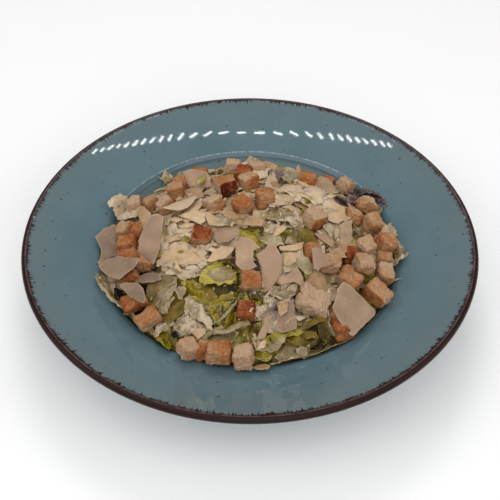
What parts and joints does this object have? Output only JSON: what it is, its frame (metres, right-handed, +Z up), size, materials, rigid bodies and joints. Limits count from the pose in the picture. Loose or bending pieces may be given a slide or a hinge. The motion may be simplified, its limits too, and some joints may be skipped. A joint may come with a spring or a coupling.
{
  "type": "caesar salad on a plate",
  "caption": "Heap of dressed lettuce with bread croutons and shavings of hard cheese, filling the well of a round wide-rimmed plate.",
  "frame": {"origin": "centre of the plate's foot, on the surface that the plate stands on", "axes": "+Z up; -Y towards the side that is nearest in the usual view; +X to the right in that view"},
  "size_m": [0.28, 0.28, 0.0641],
  "materials": {
    "glaze": "glossy grey-blue glaze with fine dark specks and a brown brushed rim",
    "leaves": "moist dressed lettuce, pale to yellow-green, with grated cheese",
    "crumb": "dry toasted bread, golden crust and pale crumb",
    "cheese": "satin hard cheese, cream"
  },
  "bodies": {
    "root": {"plate": "glaze", "salad": "leaves", "crouton_01": "crumb", "crouton_02": "crumb", "crouton_03": "crumb", "crouton_04": "crumb", "crouton_05": "crumb", "crouton_06": "crumb", "crouton_07": "crumb", "crouton_08": "crumb", "crouton_09": "crumb", "crouton_10": "crumb", "crouton_11": "crumb", "crouton_12": "crumb", "crouton_13": "crumb", "crouton_14": "crumb", "crouton_15": "crumb", "crouton_16": "crumb", "crouton_17": "crumb", "crouton_18": "crumb", "crouton_19": "crumb", "crouton_20": "crumb", "crouton_21": "crumb", "crouton_22": "crumb", "crouton_23": "crumb", "crouton_24": "crumb", "crouton_25": "crumb", "crouton_26": "crumb", "crouton_27": "crumb", "crouton_28": "crumb", "crouton_29": "crumb", "crouton_30": "crumb", "crouton_31": "crumb", "crouton_32": "crumb", "crouton_33": "crumb", "crouton_34": "crumb", "crouton_35": "crumb", "crouton_36": "crumb", "crouton_37": "crumb", "crouton_38": "crumb", "parmesan_01": "cheese", "parmesan_02": "cheese", "parmesan_03": "cheese", "parmesan_04": "cheese", "parmesan_05": "cheese", "parmesan_06": "cheese", "parmesan_07": "cheese", "parmesan_08": "cheese", "parmesan_09": "cheese", "parmesan_10": "cheese", "parmesan_11": "cheese", "parmesan_12": "cheese", "parmesan_13": "cheese", "parmesan_14": "cheese", "parmesan_15": "cheese", "parmesan_16": "cheese", "parmesan_17": "cheese", "parmesan_18": "cheese"}
  },
  "joints": []
}
